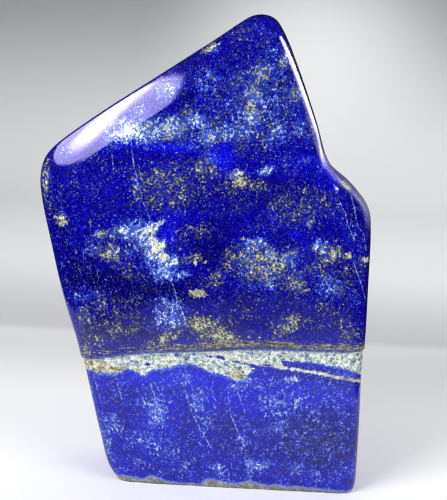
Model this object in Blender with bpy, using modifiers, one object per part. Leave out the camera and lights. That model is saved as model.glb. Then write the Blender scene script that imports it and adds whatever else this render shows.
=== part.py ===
"""Polished lapis lazuli freeform that stands on its own flat cut base.

One natural piece of stone: a thick slab with a gently domed front, a domed back, rounded
edges all the way round, a broad soft bevel on the long slope at the upper left, a small
waist under the peak on the right, and a shallow ledge across the lower front, where the
upper face stands a little proud of the lower one.

Metres, +Z up. The front faces -Y. The origin is the middle of the outline, on the base.
"""

import math

import bmesh
import bpy
import numpy as np

# ---------------------------------------------------------------- driving dimensions (mm)
MM = 0.001
HEIGHT_MM = 240.3            # base to peak
LEDGE_DROP = 2.2             # how far the lower face lies behind the upper one
EDGE_ROUND = 7.0             # usual rounding of the front edges
BACK_ROUND = 11.0            # usual rounding of the back edges
BEVEL_WIDTH = 21.0           # the broad bevel on the upper left slope, across the face
BEVEL_DEPTH = 13.0           # the same bevel, measured into the thickness
COLUMNS = 28                 # cage columns round the stone
ROWS = 28                    # cage rows from underside to peak
MIDDLE = (0.64, -0.86)       # middle of the stone's box in the drawing below, put at x = y = 0

# The front outline, (x, z), going up the left side and down the right. It runs on below
# z = 0, because the flat base is cut afterwards.
OUTLINE = [
    (-34.0, -14.0), (-39.5, -1.5), (-45.0, 7.0), (-50.2, 26.0), (-57.2, 54.5),
    (-61.8, 73.5), (-69.3, 95.5), (-77.8, 127.0), (-83.1, 147.0),      # leaning left side
    (-84.3, 156.0), (-82.8, 164.5), (-78.0, 170.8),                    # left shoulder
    (-68.0, 179.0), (-51.5, 191.0), (-20.7, 212.0), (4.2, 229.2),      # long slope
    (13.5, 236.0), (19.5, 239.6), (25.5, 240.3), (30.8, 238.2),        # peak
    (34.3, 233.6), (38.3, 226.0), (44.8, 211.0), (53.8, 188.0),        # short steep side
    (58.6, 173.5), (63.0, 166.4), (72.6, 158.8), (78.8, 152.3),        # waist and shoulder
    (82.2, 146.0), (83.3, 136.0), (83.6, 110.0), (83.9, 78.0),         # upright right side
    (83.9, 60.0), (84.4, 35.0), (84.6, 12.0), (84.2, 2.5),
    (81.5, -3.0), (72.0, -14.0), (20.0, -20.0), (-15.0, -18.0),
]

# The ledge as it crosses the front, (x, z).
LEDGE = [(-70, 64.5), (-57, 66.0), (-47, 67.4), (-36, 69.6), (-20, 71.8), (-8, 72.8),
         (10, 74.6), (30, 76.0), (46, 76.4), (63, 76.3), (76, 76.5), (90, 78.0)]

# The middle of the front and of the back, (z, y): the upper face leans back as it rises.
FRONT_PROFILE = [(-20, -28.6), (0, -29.5), (30, -31.3), (60, -32.4), (76, -32.8),
                 (95, -32.3), (120, -30.6), (150, -27.6), (180, -23.8), (210, -19.6),
                 (240, -15.0)]
BACK_PROFILE = [(-20, 28.0), (0, 29.0), (40, 31.2), (80, 31.5), (120, 29.0),
                (160, 24.5), (200, 18.5), (240, 11.5)]

STONE_BLUE = (0.012, 0.010, 0.300, 1.0)


# ---------------------------------------------------------------- curves and ramps
def smoothstep(low, high, x):
    t = np.clip((x - low) / (high - low), 0.0, 1.0)
    return t * t * (3.0 - 2.0 * t)


def through(points, x):
    """A smooth curve through (position, value) points, read at x."""
    px = np.array([p[0] for p in points], float)
    py = np.array([p[1] for p in points], float)
    slope = np.gradient(py, px)
    i = np.clip(np.searchsorted(px, x) - 1, 0, len(px) - 2)
    h = px[i + 1] - px[i]
    t = np.clip((x - px[i]) / h, 0.0, 1.0)
    return ((2 * t**3 - 3 * t**2 + 1) * py[i] + (t**3 - 2 * t**2 + t) * h * slope[i]
            + (3 * t**2 - 2 * t**3) * py[i + 1] + (t**3 - t**2) * h * slope[i + 1])


def closed_curve(points, per=20, blur=1.6, step=0.8):
    """Centripetal Catmull-Rom loop through the points, evened out and lightly softened."""
    P = np.array(points, float)
    n = len(P)
    loop = []
    for i in range(n):
        p0, p1, p2, p3 = P[i - 1], P[i], P[(i + 1) % n], P[(i + 2) % n]
        t1 = math.sqrt(np.linalg.norm(p1 - p0))
        t2 = t1 + math.sqrt(np.linalg.norm(p2 - p1))
        t3 = t2 + math.sqrt(np.linalg.norm(p3 - p2))
        t = np.linspace(t1, t2, per, endpoint=False)[:, None]
        a1 = (t1 - t) / t1 * p0 + t / t1 * p1
        a2 = (t2 - t) / (t2 - t1) * p1 + (t - t1) / (t2 - t1) * p2
        a3 = (t3 - t) / (t3 - t2) * p2 + (t - t2) / (t3 - t2) * p3
        b1 = (t2 - t) / t2 * a1 + t / t2 * a2
        b2 = (t3 - t) / (t3 - t1) * a2 + (t - t1) / (t3 - t1) * a3
        loop.append((t2 - t) / (t2 - t1) * b1 + (t - t1) / (t2 - t1) * b2)
    loop = np.concatenate(loop)
    seg = np.linalg.norm(np.roll(loop, -1, 0) - loop, axis=1)
    s = np.concatenate([[0.0], np.cumsum(seg)])
    count = int(s[-1] / step)
    u = np.arange(count) * s[-1] / count
    ring = np.vstack([loop, loop[:1]])
    even = np.stack([np.interp(u, s, ring[:, k]) for k in (0, 1)], 1)
    reach = int(4 * blur / step)
    w = np.exp(-0.5 * (np.arange(-reach, reach + 1) * step / blur) ** 2)
    w /= w.sum()
    return sum(w[k + reach] * np.roll(even, k, 0) for k in range(-reach, reach + 1))


LOOP = closed_curve(OUTLINE)
NEXT = np.roll(LOOP, -1, 0)


def outline_distance(x, z):
    """Distance to the outline in the plane of the front, negative inside it."""
    D = NEXT - LOOP
    LL = (D**2).sum(1)
    xs, zs = np.ravel(x), np.ravel(z)
    out = np.empty(xs.size)
    for k in range(0, xs.size, 4000):
        px, pz = xs[k:k + 4000, None], zs[k:k + 4000, None]
        t = np.clip(((px - LOOP[:, 0]) * D[:, 0] + (pz - LOOP[:, 1]) * D[:, 1]) / LL, 0, 1)
        d2 = (px - LOOP[:, 0] - t * D[:, 0]) ** 2 + (pz - LOOP[:, 1] - t * D[:, 1]) ** 2
        dz = np.where(np.abs(D[:, 1]) < 1e-9, 1e-9, D[:, 1])
        crossing = ((LOOP[:, 1] > pz) != (NEXT[:, 1] > pz)) & (
            px < D[:, 0] * (pz - LOOP[:, 1]) / dz + LOOP[:, 0])
        inside = crossing.sum(1) % 2 == 1
        out[k:k + 4000] = np.where(inside, -1.0, 1.0) * np.sqrt(d2.min(1))
    return out.reshape(np.shape(x))


# ---------------------------------------------------------------- the stone's surfaces
def bevel_share(x, z):
    """1 along the middle of the long upper left slope, 0 away from it."""
    along = x * 0.848 + (z - 160.0) * 0.530      # distance up the slope from the shoulder
    return smoothstep(-72, -46, along) * (1.0 - smoothstep(4, 44, along)) * smoothstep(
        150, 166, z + 0.35 * np.maximum(0.0, -x - 40))


def ledge_height(x):
    return through(LEDGE, x)


def front_y(x, z):
    """The front face before the ledge is cut: domed, leaning back as it rises."""
    dome = 1.8 + 2.8 * smoothstep(0.0, 110.0, z)
    y = through(FRONT_PROFILE, z) + dome * ((x - 4.0) / 84.0) ** 2
    return y + 0.5 * np.sin(x / 31.0 + z / 57.0 + 0.6) * smoothstep(90, 150, z)


def back_y(x, z):
    """The back face: a softer dome, with the slow waves that polishing leaves."""
    y = through(BACK_PROFILE, z) - 6.0 * ((x + 2.0) / 84.0) ** 2
    return y + 0.8 * np.sin(x / 24.0 - z / 41.0) + 0.6 * np.sin(z / 29.0 + x / 60.0 + 1.2)


def outside(x, y, z):
    """Above 0 outside the stone, below 0 inside it."""
    d = outline_distance(x, z)
    share = bevel_share(x, z)
    wide = EDGE_ROUND + (BEVEL_WIDTH - EDGE_ROUND) * share
    deep = EDGE_ROUND + (BEVEL_DEPTH - EDGE_ROUND) * share
    power = 2.3 - 0.6 * share
    a = np.maximum(d + wide, 0.0) / wide
    b = np.maximum(front_y(x, z) - y + deep, 0.0) / deep
    front = (a**power + b**power) ** (1.0 / power)
    a = np.maximum(d + BACK_ROUND, 0.0) / BACK_ROUND
    b = np.maximum(y - back_y(x, z) + BACK_ROUND, 0.0) / BACK_ROUND
    back = (a**2.3 + b**2.3) ** (1.0 / 2.3)
    return np.maximum(front, back) - 1.0


# ---------------------------------------------------------------- rows and columns
def row_levels():
    """Heights of the cage rows: even on the body, closing up towards the rounded peak."""
    low, high = -16.0, HEIGHT_MM
    u = np.arange(1, ROWS) / ROWS
    return high - (high - low) * (1.0 - u) ** 1.35


def row_middle(z):
    """Middle and half width of the outline at each height."""
    left, right = [], []
    for level in np.atleast_1d(z):
        a, b = LOOP, NEXT
        hit = (a[:, 1] > level) != (b[:, 1] > level)
        t = (level - a[hit, 1]) / (b[hit, 1] - a[hit, 1])
        xs = a[hit, 0] + t * (b[hit, 0] - a[hit, 0])
        left.append(xs.min())
        right.append(xs.max())
    return (np.array(left) + np.array(right)) / 2, (np.array(right) - np.array(left)) / 2


def on_surface(levels, turns):
    """Points of the stone's surface at each level (rows) and turn (columns)."""
    middle, half = row_middle(levels)
    front = front_y(middle, levels)
    back = back_y(middle, levels)
    cy = (front + back) / 2
    depth = (back - front) / 2
    # each turn aims at a point of a rounded box as wide and deep as the stone is there
    c, s = np.cos(turns), np.sin(turns)
    k = 1.0 / (np.abs(c) ** 3.0 + np.abs(s) ** 3.0) ** (1 / 3.0)
    dx = half[:, None] * (c * k)[None, :]
    dy = depth[:, None] * (s * k)[None, :]
    z = np.repeat(levels[:, None], len(turns), 1)
    low, high = np.zeros_like(dx), np.full_like(dx, 1.6)
    for _ in range(26):
        mid = (low + high) / 2
        out = outside(middle[:, None] + dx * mid, cy[:, None] + dy * mid, z) > 0
        high = np.where(out, mid, high)
        low = np.where(out, low, mid)
    return np.stack([middle[:, None] + dx * low, cy[:, None] + dy * low, z], -1)


def cage_for(target):
    """A cage whose once-subdivided skin passes through the target points: the points are
    pushed out by what the subdivision pulls in."""
    cage = target.copy()
    for _ in range(6):
        up, down = np.roll(cage, -1, 0), np.roll(cage, 1, 0)
        up[-1], down[0] = cage[-1], cage[0]
        side = lambda a: np.roll(a, 1, 1) + np.roll(a, -1, 1)
        skin = 0.5625 * cage + 0.09375 * (up + down + side(cage)) + 0.015625 * (
            side(up) + side(down))
        cage += 0.8 * (target - skin)
    return cage


def placed(p):
    """A point of the drawing, in millimetres, as metres from the origin."""
    return ((p[0] - MIDDLE[0]) * MM, (p[1] - MIDDLE[1]) * MM, p[2] * MM)


# ---------------------------------------------------------------- Blender objects
def stone_body(collection):
    """The rounded body as a sphere whose parallels become the stone's level sections."""
    levels = row_levels()
    turns = np.arange(COLUMNS) * 2 * math.pi / COLUMNS
    points = cage_for(on_surface(levels, turns))
    bm = bmesh.new()
    bmesh.ops.create_uvsphere(bm, u_segments=COLUMNS, v_segments=ROWS, radius=1.0)
    peak_x = row_middle(np.array([HEIGHT_MM - 1.0]))[0][0]
    for v in bm.verts:
        polar = math.acos(max(-1.0, min(1.0, v.co.z)))
        row = ROWS - round(polar / math.pi * ROWS)           # 0 at the underside
        if row == 0:
            v.co = placed((0.0, 0.0, -17.0))
        elif row == ROWS:
            v.co = placed((peak_x, -1.5, HEIGHT_MM + 0.4))
        else:
            turn = math.atan2(v.co.y, v.co.x) % (2 * math.pi)
            column = round(turn / (2 * math.pi) * COLUMNS) % COLUMNS
            v.co = placed(points[row - 1, column])
    bmesh.ops.recalc_face_normals(bm, faces=bm.faces)
    mesh = bpy.data.meshes.new("stone")
    bm.to_mesh(mesh)
    bm.free()
    mesh.shade_smooth()
    stone = bpy.data.objects.new("stone", mesh)
    collection.objects.link(stone)
    skin = stone.modifiers.new("Polished skin", "SUBSURF")
    skin.levels = skin.render_levels = 1
    return stone


def base_cutter(collection):
    """A block whose top face is the saw cut that the stone stands on."""
    bm = bmesh.new()
    bmesh.ops.create_cube(bm, size=1.0)
    bmesh.ops.scale(bm, vec=(0.30, 0.20, 0.06), verts=bm.verts)
    bmesh.ops.translate(bm, vec=(0.0, 0.0, -0.03), verts=bm.verts)
    mesh = bpy.data.meshes.new("base_cutter")
    bm.to_mesh(mesh)
    bm.free()
    cutter = bpy.data.objects.new("base_cutter", mesh)
    collection.objects.link(cutter)
    cutter.display_type = "WIRE"
    cutter.hide_render = True
    return cutter


def ledge_cutter(collection):
    """The slice that sets the lower face back: a sheet that follows the front face just
    under the ledge line, made solid forwards."""
    xs = np.linspace(-96.0, 96.0, 33)
    depth = np.array([0.0, 0.35, 0.75, 1.0, 1.0])
    drop = np.array([0.0, 0.7, 1.4, 2.2, 4.0])
    rows = []
    for f, d in zip(depth, drop):
        z = ledge_height(xs) - d
        rows.append(np.stack([xs, front_y(xs, z) + LEDGE_DROP * f, z], -1))
    for f in (0.25, 0.5, 0.75, 1.0):
        z = (ledge_height(xs) - 4.0) * (1 - f) + (-8.0) * f
        rows.append(np.stack([xs, front_y(xs, z) + LEDGE_DROP, z], -1))
    bm = bmesh.new()
    grid = [[bm.verts.new(placed(p)) for p in row] for row in rows]
    for i in range(len(grid) - 1):
        for j in range(len(xs) - 1):
            bm.faces.new((grid[i][j], grid[i][j + 1], grid[i + 1][j + 1], grid[i + 1][j]))
    edge = [e for e in bm.edges if e.is_boundary]
    swept = bmesh.ops.extrude_edge_only(bm, edges=edge)["geom"]
    front = [v for v in swept if isinstance(v, bmesh.types.BMVert)]
    for v in front:
        v.co.y = -0.060
    bmesh.ops.holes_fill(bm, edges=[e for e in bm.edges if e.is_boundary], sides=0)
    bmesh.ops.recalc_face_normals(bm, faces=bm.faces)
    mesh = bpy.data.meshes.new("ledge_cutter")
    bm.to_mesh(mesh)
    bm.free()
    cutter = bpy.data.objects.new("ledge_cutter", mesh)
    collection.objects.link(cutter)
    cutter.display_type = "WIRE"
    cutter.hide_render = True
    return cutter


def stone_material():
    material = bpy.data.materials.new("lapis_lazuli")
    material.use_nodes = True
    shader = material.node_tree.nodes["Principled BSDF"]
    shader.inputs["Base Color"].default_value = STONE_BLUE
    shader.inputs["Roughness"].default_value = 0.12
    shader.inputs["Metallic"].default_value = 0.0
    material.diffuse_color = STONE_BLUE
    return material


def cut(stone, cutter, name):
    boolean = stone.modifiers.new(name, "BOOLEAN")
    boolean.operation = "DIFFERENCE"
    boolean.solver = "EXACT"
    boolean.object = cutter


def main():
    for old in list(bpy.data.objects):
        bpy.data.objects.remove(old, do_unlink=True)
    parts = bpy.data.collections.new("lapis_freeform")
    cutters = bpy.data.collections.new("cutters")
    for c in (parts, cutters):
        bpy.context.scene.collection.children.link(c)
    stone = stone_body(parts)
    stone.data.materials.append(stone_material())
    cut(stone, ledge_cutter(cutters), "Set back below the ledge")
    cut(stone, base_cutter(cutters), "Flat sawn base")


main()
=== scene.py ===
"""Looks of the polished lapis lazuli freeform: one stone with a finely modelled surface.

The stone's surface is worked out point by point from its outline, its front and back
profiles, the rounding of its edges and the ledge across its front. The markings (calcite,
pyrite, veins and the pale band) are fields on that surface, and the material turns them
into grains, flecks and lines at their real scale.
"""
import math

import bpy
import numpy as np
from mathutils import Matrix, Vector


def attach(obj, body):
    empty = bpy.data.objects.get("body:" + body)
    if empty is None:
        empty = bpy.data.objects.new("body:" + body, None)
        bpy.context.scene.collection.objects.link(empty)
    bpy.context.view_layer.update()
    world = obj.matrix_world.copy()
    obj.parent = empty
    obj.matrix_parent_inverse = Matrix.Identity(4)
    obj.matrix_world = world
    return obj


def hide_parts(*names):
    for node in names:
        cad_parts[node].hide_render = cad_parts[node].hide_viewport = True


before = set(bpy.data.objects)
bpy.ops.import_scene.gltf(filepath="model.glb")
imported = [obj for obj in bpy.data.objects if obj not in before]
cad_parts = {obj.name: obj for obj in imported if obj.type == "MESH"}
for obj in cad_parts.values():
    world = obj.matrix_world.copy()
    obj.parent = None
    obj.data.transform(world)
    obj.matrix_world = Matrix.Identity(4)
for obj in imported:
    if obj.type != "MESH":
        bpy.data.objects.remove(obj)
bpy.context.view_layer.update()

# ---------------------------------------------------------------- dimensions (mm)
HEIGHT = 240.3
LEDGE_DROP = 2.2
EDGE_ROUND = 7.0
BACK_ROUND = 11.0
BEVEL_WIDTH = 15.5
BEVEL_DEPTH = 10.4
MIDDLE = (0.64, -0.86)
COLUMNS = 272
TOP_ROWS = 56

OUTLINE = [
    (-34.0, -14.0), (-39.5, -1.5), (-45.0, 7.0), (-50.2, 26.0), (-57.2, 54.5),
    (-61.8, 73.5), (-69.3, 95.5), (-77.8, 127.0), (-83.1, 147.0),
    (-84.3, 156.0), (-82.8, 164.5), (-78.0, 170.8),
    (-68.0, 179.0), (-51.5, 191.0), (-20.7, 212.0), (4.2, 229.2),
    (13.5, 236.0), (19.5, 239.6), (25.5, 240.3), (30.8, 238.2),
    (34.3, 233.6), (38.3, 226.0), (44.8, 211.0), (53.8, 188.0),
    (58.6, 173.5), (63.0, 166.4), (72.6, 158.8), (78.8, 152.3),
    (82.2, 146.0), (83.3, 136.0), (83.6, 110.0), (83.9, 78.0),
    (83.9, 60.0), (84.4, 35.0), (84.6, 12.0), (84.2, 2.5),
    (81.5, -3.0), (72.0, -14.0), (20.0, -20.0), (-15.0, -18.0),
]
LEDGE = [(-70, 64.5), (-57, 66.0), (-47, 67.4), (-36, 69.6), (-20, 71.8), (-8, 72.8),
         (10, 74.6), (30, 76.0), (46, 76.4), (63, 76.3), (76, 76.5), (90, 78.0)]
FRONT_PROFILE = [(-20, -28.6), (0, -29.5), (30, -31.3), (60, -32.4), (76, -32.8),
                 (95, -32.3), (120, -30.6), (150, -27.6), (180, -23.8), (210, -19.6),
                 (240, -15.0)]
BACK_PROFILE = [(-20, 28.0), (0, 29.0), (40, 31.2), (80, 31.5), (120, 29.0),
                (160, 24.5), (200, 18.5), (240, 11.5)]

# The view that the markings are drawn in: a camera at EYE looking at the front face.
EYE = np.array([27.6, -515.0, 210.7])
PITCH, ROLL, YAW = math.radians(10.0), math.radians(2.5), math.radians(-2.0)
FOCAL = 1002.0
FRAME_W, FRAME_H = 447.0, 500.0


# ---------------------------------------------------------------- curves, ramps, noise
def smooth(low, high, x):
    t = np.clip((x - low) / (high - low), 0.0, 1.0)
    return t * t * (3.0 - 2.0 * t)


def through(points, x):
    px = np.array([p[0] for p in points], float)
    py = np.array([p[1] for p in points], float)
    slope = np.gradient(py, px)
    i = np.clip(np.searchsorted(px, x) - 1, 0, len(px) - 2)
    h = px[i + 1] - px[i]
    t = np.clip((x - px[i]) / h, 0.0, 1.0)
    return ((2 * t**3 - 3 * t**2 + 1) * py[i] + (t**3 - 2 * t**2 + t) * h * slope[i]
            + (3 * t**2 - 2 * t**3) * py[i + 1] + (t**3 - t**2) * h * slope[i + 1])


def closed_curve(points, per=20, blur=1.6, step=0.8):
    P = np.array(points, float)
    n = len(P)
    loop = []
    for i in range(n):
        p0, p1, p2, p3 = P[i - 1], P[i], P[(i + 1) % n], P[(i + 2) % n]
        t1 = math.sqrt(np.linalg.norm(p1 - p0))
        t2 = t1 + math.sqrt(np.linalg.norm(p2 - p1))
        t3 = t2 + math.sqrt(np.linalg.norm(p3 - p2))
        t = np.linspace(t1, t2, per, endpoint=False)[:, None]
        a1 = (t1 - t) / t1 * p0 + t / t1 * p1
        a2 = (t2 - t) / (t2 - t1) * p1 + (t - t1) / (t2 - t1) * p2
        a3 = (t3 - t) / (t3 - t2) * p2 + (t - t2) / (t3 - t2) * p3
        b1 = (t2 - t) / t2 * a1 + t / t2 * a2
        b2 = (t3 - t) / (t3 - t1) * a2 + (t - t1) / (t3 - t1) * a3
        loop.append((t2 - t) / (t2 - t1) * b1 + (t - t1) / (t2 - t1) * b2)
    loop = np.concatenate(loop)
    seg = np.linalg.norm(np.roll(loop, -1, 0) - loop, axis=1)
    s = np.concatenate([[0.0], np.cumsum(seg)])
    count = int(s[-1] / step)
    u = np.arange(count) * s[-1] / count
    ring = np.vstack([loop, loop[:1]])
    even = np.stack([np.interp(u, s, ring[:, k]) for k in (0, 1)], 1)
    reach = int(4 * blur / step)
    w = np.exp(-0.5 * (np.arange(-reach, reach + 1) * step / blur) ** 2)
    w /= w.sum()
    return sum(w[k + reach] * np.roll(even, k, 0) for k in range(-reach, reach + 1))


LATTICE = np.random.RandomState(23).rand(32, 32, 32)


def cloud(p, size, seed=0.0):
    """Smooth 3-D noise from -1 to 1 whose patches are about size mm across."""
    q = p / size + np.array([seed * 7.31 + 3.1, seed * 3.77 + 9.7, seed * 5.19 + 1.3])
    i = np.floor(q).astype(int)
    f = q - i
    f = f * f * (3 - 2 * f)
    out = 0.0
    for a in (0, 1):
        for b in (0, 1):
            for c in (0, 1):
                w = (np.abs(1 - a - f[:, 0]) * np.abs(1 - b - f[:, 1])
                     * np.abs(1 - c - f[:, 2]))
                out = out + w * LATTICE[(i[:, 0] + a) % 32, (i[:, 1] + b) % 32,
                                        (i[:, 2] + c) % 32]
    return out * 2 - 1


# ---------------------------------------------------------------- the outline as a field
LOOP = closed_curve(OUTLINE)
NEXT = np.roll(LOOP, -1, 0)
GX = np.arange(-104.0, 104.5, 1.0)
GZ = np.arange(-40.0, 262.5, 1.0)


def exact_distance(x, z):
    D = NEXT - LOOP
    LL = (D**2).sum(1)
    xs, zs = np.ravel(x), np.ravel(z)
    out = np.empty(xs.size)
    for k in range(0, xs.size, 4000):
        px, pz = xs[k:k + 4000, None], zs[k:k + 4000, None]
        t = np.clip(((px - LOOP[:, 0]) * D[:, 0] + (pz - LOOP[:, 1]) * D[:, 1]) / LL, 0, 1)
        d2 = (px - LOOP[:, 0] - t * D[:, 0]) ** 2 + (pz - LOOP[:, 1] - t * D[:, 1]) ** 2
        dz = np.where(np.abs(D[:, 1]) < 1e-9, 1e-9, D[:, 1])
        crossing = ((LOOP[:, 1] > pz) != (NEXT[:, 1] > pz)) & (
            px < D[:, 0] * (pz - LOOP[:, 1]) / dz + LOOP[:, 0])
        inside = crossing.sum(1) % 2 == 1
        out[k:k + 4000] = np.where(inside, -1.0, 1.0) * np.sqrt(d2.min(1))
    return out.reshape(np.shape(x))


def blurred(field, sigma):
    reach = int(3 * sigma)
    w = np.exp(-0.5 * (np.arange(-reach, reach + 1) / sigma) ** 2)
    w /= w.sum()
    for axis in (0, 1):
        pad = [(reach, reach) if a == axis else (0, 0) for a in (0, 1)]
        wide = np.pad(field, pad, mode="edge")
        field = sum(w[k] * np.take(wide, np.arange(k, k + field.shape[axis]), axis=axis)
                    for k in range(2 * reach + 1))
    return field


EXACT = exact_distance(np.repeat(GX[None, :], len(GZ), 0), np.repeat(GZ[:, None], len(GX), 1))
SOFT = blurred(EXACT, 5.0)
DEEP = smooth(2.0, 13.0, -EXACT)
FIELD = EXACT * (1 - DEEP) + SOFT * DEEP


def outline_distance(x, z):
    """Distance to the outline, negative inside, with the creases inside its corners
    softened so that the rounded edges run smoothly round them."""
    fx = np.clip(x - GX[0], 1.0, len(GX) - 2.001)
    fz = np.clip(z - GZ[0], 1.0, len(GZ) - 2.001)
    ix, iz = np.floor(fx).astype(int), np.floor(fz).astype(int)
    tx, tz = fx - ix, fz - iz

    def weights(t):
        return (-0.5 * t + t * t - 0.5 * t**3, 1 - 2.5 * t * t + 1.5 * t**3,
                0.5 * t + 2 * t * t - 1.5 * t**3, -0.5 * t * t + 0.5 * t**3)
    wx, wz = weights(tx), weights(tz)
    out = 0.0
    for a in range(4):
        row = 0.0
        for b in range(4):
            row = row + wx[b] * FIELD[iz + a - 1, ix + b - 1]
        out = out + wz[a] * row
    return out


# ---------------------------------------------------------------- the stone's surfaces
def ledge_height(x):
    return through(LEDGE, x)


def bevel_share(x, z):
    """How far the flat bevel of the slanting top has taken over from the rounded edge. It
    starts at the left corner and runs out just past the peak."""
    along = x * 0.848 + (z - 160.0) * 0.530
    past_peak = (x - 27.0) * 0.950 - (z - 238.0) * 0.311
    return smooth(-84, -66, along) * (1.0 - smooth(-4, 9, past_peak)) * smooth(
        142, 158, z + 0.35 * np.maximum(0.0, -x - 40))


def front_y(x, z):
    dome = 1.8 + 2.8 * smooth(0.0, 110.0, z)
    y = through(FRONT_PROFILE, z) + dome * ((x - 4.0) / 84.0) ** 2
    return y + 0.5 * np.sin(x / 31.0 + z / 57.0 + 0.6) * smooth(90, 150, z)


def below_ledge(x, z):
    return 1.0 - smooth(-1.5, 0.5, z - ledge_height(x))


def front_fine(x, z):
    """The front with its ledge: the upper face rolls in over a rounded lip."""
    t = z - ledge_height(x)
    below = below_ledge(x, z)
    roll = 0.8 * np.clip(1.0 - (t + 1.0) / 6.0, 0.0, 1.0) ** 2
    y = front_y(x, z) + roll * (1 - below) + LEDGE_DROP * below
    y = y + 0.16 * np.sin(x / 9.0 + z / 23.0) * np.sin(z / 13.0 - x / 31.0 + 1.0)
    return y + 0.10 * np.sin(x / 5.3 - z / 19.0 + 2.0) * below


def back_y(x, z):
    y = through(BACK_PROFILE, z) - 6.0 * ((x + 2.0) / 84.0) ** 2
    return y + 0.8 * np.sin(x / 24.0 - z / 41.0) + 0.6 * np.sin(z / 29.0 + x / 60.0 + 1.2)


def outside(x, y, z):
    d = outline_distance(x, z)
    d = d + 0.55 * below_ledge(x, z) * (1.0 - smooth(-18.0, 12.0, y))
    share = bevel_share(x, z)
    wide = EDGE_ROUND + (BEVEL_WIDTH - EDGE_ROUND) * share
    deep = EDGE_ROUND + (BEVEL_DEPTH - EDGE_ROUND) * share
    power = 2.3 - 0.92 * share
    # the right shoulder's narrow side facet, with a crease on its inner side
    facet = smooth(52, 61, x) * smooth(132, 146, z) * (1.0 - smooth(174, 186, z))
    wide = wide + (2.7 - wide) * facet
    deep = deep + (7.0 - deep) * facet
    power = power + (1.28 - power) * facet
    a = np.maximum(d + wide, 0.0) / wide
    b = np.maximum(front_fine(x, z) - y + deep, 0.0) / deep
    front = (a**power + b**power) ** (1.0 / power)
    a = np.maximum(d + BACK_ROUND, 0.0) / BACK_ROUND
    b = np.maximum(y - back_y(x, z) + BACK_ROUND, 0.0) / BACK_ROUND
    back = (a**2.3 + b**2.3) ** (1.0 / 2.3)
    return np.maximum(front, back) - 1.0


# ---------------------------------------------------------------- rows and columns
def row_levels():
    """Heights of the rows: close at the base and at the ledge, closing up at the peak."""
    s = np.linspace(0.0, 215.0, 8601)
    gap = 0.86 - 0.36 * (1 - smooth(2.0, 8.0, s)) - 0.56 * (
        smooth(64.0, 68.0, s) * (1 - smooth(76.5, 81.0, s)))
    count = np.concatenate([[0.0], np.cumsum(np.diff(s) / (0.5 * (gap[1:] + gap[:-1])))])
    rows = int(count[-1])
    low = np.interp(np.arange(rows) * count[-1] / rows, count, s)
    u = np.arange(TOP_ROWS) / TOP_ROWS
    high = HEIGHT - (HEIGHT - 215.0) * (1.0 - u) ** 2
    return np.concatenate([low, high])


def row_middle(z):
    left, right = [], []
    for level in z:
        hit = (LOOP[:, 1] > level) != (NEXT[:, 1] > level)
        t = (level - LOOP[hit, 1]) / (NEXT[hit, 1] - LOOP[hit, 1])
        xs = LOOP[hit, 0] + t * (NEXT[hit, 0] - LOOP[hit, 0])
        left.append(xs.min())
        right.append(xs.max())
    left, right = np.array(left), np.array(right)
    return (left + right) / 2, (right - left) / 2


def column_aims():
    """Where the columns aim on a rounded box: closest on the front, then at its edges."""
    a = np.linspace(0.5 * math.pi, 2.5 * math.pi, 8001)
    c, s = np.cos(a), np.sin(a)
    k = 1.0 / (np.abs(c) ** 3.4 + np.abs(s) ** 3.4) ** (1 / 3.4)
    x, y = c * k * 82.0, s * k * 29.0
    step = np.hypot(np.diff(x), np.diff(y))
    mx, my = (x[1:] + x[:-1]) / 2, (y[1:] + y[:-1]) / 2
    weight = 0.42 + 0.58 * smooth(4.0, -20.0, my) + 0.45 * smooth(62.0, 78.0, np.abs(mx))
    total = np.concatenate([[0.0], np.cumsum(step * weight)])
    at = np.interp(np.arange(COLUMNS) * total[-1] / COLUMNS, total, np.arange(len(a)))
    return np.interp(at, np.arange(len(a)), c * k), np.interp(at, np.arange(len(a)), s * k)


def surface_points():
    levels = row_levels()
    middle, half = row_middle(np.clip(levels, 0.0, HEIGHT - 0.12))
    front, back = front_y(middle, levels), back_y(middle, levels)
    cy, depth = (front + back) / 2, (back - front) / 2
    ax, ay = column_aims()
    dx, dy = half[:, None] * ax[None, :], depth[:, None] * ay[None, :]
    hold = smooth(26.0, 66.0, levels) * (1.0 - smooth(82.0, 128.0, levels))

    def height_at(x):
        return levels[:, None] + hold[:, None] * (ledge_height(x) - 74.0)
    low, high = np.zeros_like(dx), np.full_like(dx, 1.7)
    for _ in range(24):
        mid = (low + high) / 2
        x = middle[:, None] + dx * mid
        out = outside(x, cy[:, None] + dy * mid, height_at(x)) > 0
        high = np.where(out, mid, high)
        low = np.where(out, low, mid)
    x = middle[:, None] + dx * low
    return np.stack([x, cy[:, None] + dy * low, height_at(x)], -1)


def rough_rim(P):
    """The unpolished edge round the foot: small chips and a worn corner."""
    flat = P.reshape(-1, 3).copy()
    z = flat[:, 2]
    reach = 2.6 + 1.6 * cloud(flat * [1, 1, 0], 14.0, 1) + 0.9 * cloud(flat * [1, 1, 0], 5.0, 2)
    low = 1.0 - smooth(0.0, 1.0, z / np.maximum(reach, 0.6))
    chip = np.maximum(0.0, cloud(flat, 3.1, 3)) * 0.45 + np.maximum(
        0.0, cloud(flat, 1.3, 4)) * 0.22
    inward = low * (0.35 + chip) + 0.5 * (1 - smooth(0.0, 0.9, z))
    centre = np.array([18.0, 1.0])
    way = centre - flat[:, :2]
    way[:, 0] *= 0.35
    way /= np.linalg.norm(way, axis=1)[:, None]
    flat[:, :2] += way * inward[:, None]
    return flat.reshape(P.shape), low.reshape(P.shape[:2])


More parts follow.
